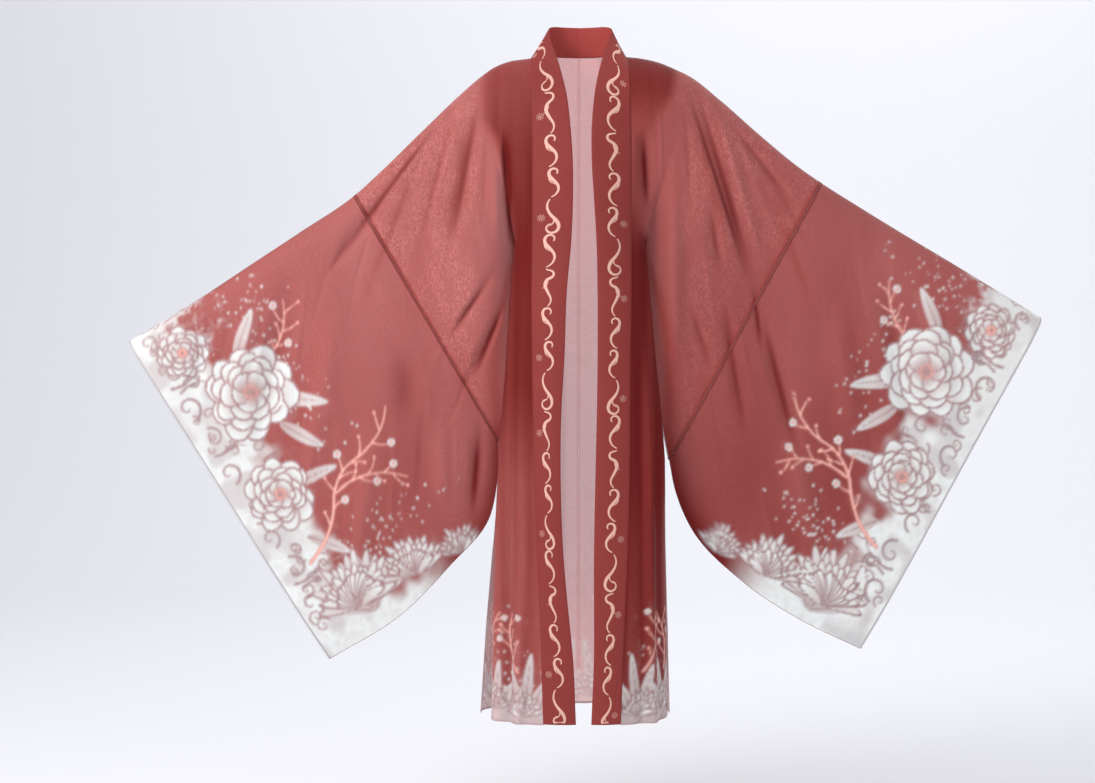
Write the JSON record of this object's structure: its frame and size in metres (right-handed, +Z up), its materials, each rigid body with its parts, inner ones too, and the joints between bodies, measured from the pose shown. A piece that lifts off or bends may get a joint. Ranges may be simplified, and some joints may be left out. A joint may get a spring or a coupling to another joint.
{
  "type": "wide-sleeved open hanfu robe",
  "caption": "Long open-front robe with very wide sleeves, a neckband running from the back neck down both fronts to the hem, and side slits, filled out as if worn.",
  "frame": {"origin": "between the shoulders at the side neck points, where the wearer holds the robe up", "axes": "+X to the viewer's right from the front, the wearer's left, +Y towards the wearer's back, +Z up"},
  "size_m": [1.7662, 0.2623, 1.3395],
  "materials": {
    "body_right_cloth": "thin sheer woven cloth",
    "body_left_cloth": "thin sheer woven cloth",
    "sleeve_right_cloth": "thin sheer woven cloth",
    "sleeve_left_cloth": "thin sheer woven cloth",
    "neckband_cloth": "woven cloth folded double"
  },
  "bodies": {
    "root": {"body_right": "body_right_cloth", "body_left": "body_left_cloth", "sleeve_right": "sleeve_right_cloth", "sleeve_left": "sleeve_left_cloth", "neckband": "neckband_cloth"}
  },
  "joints": []
}
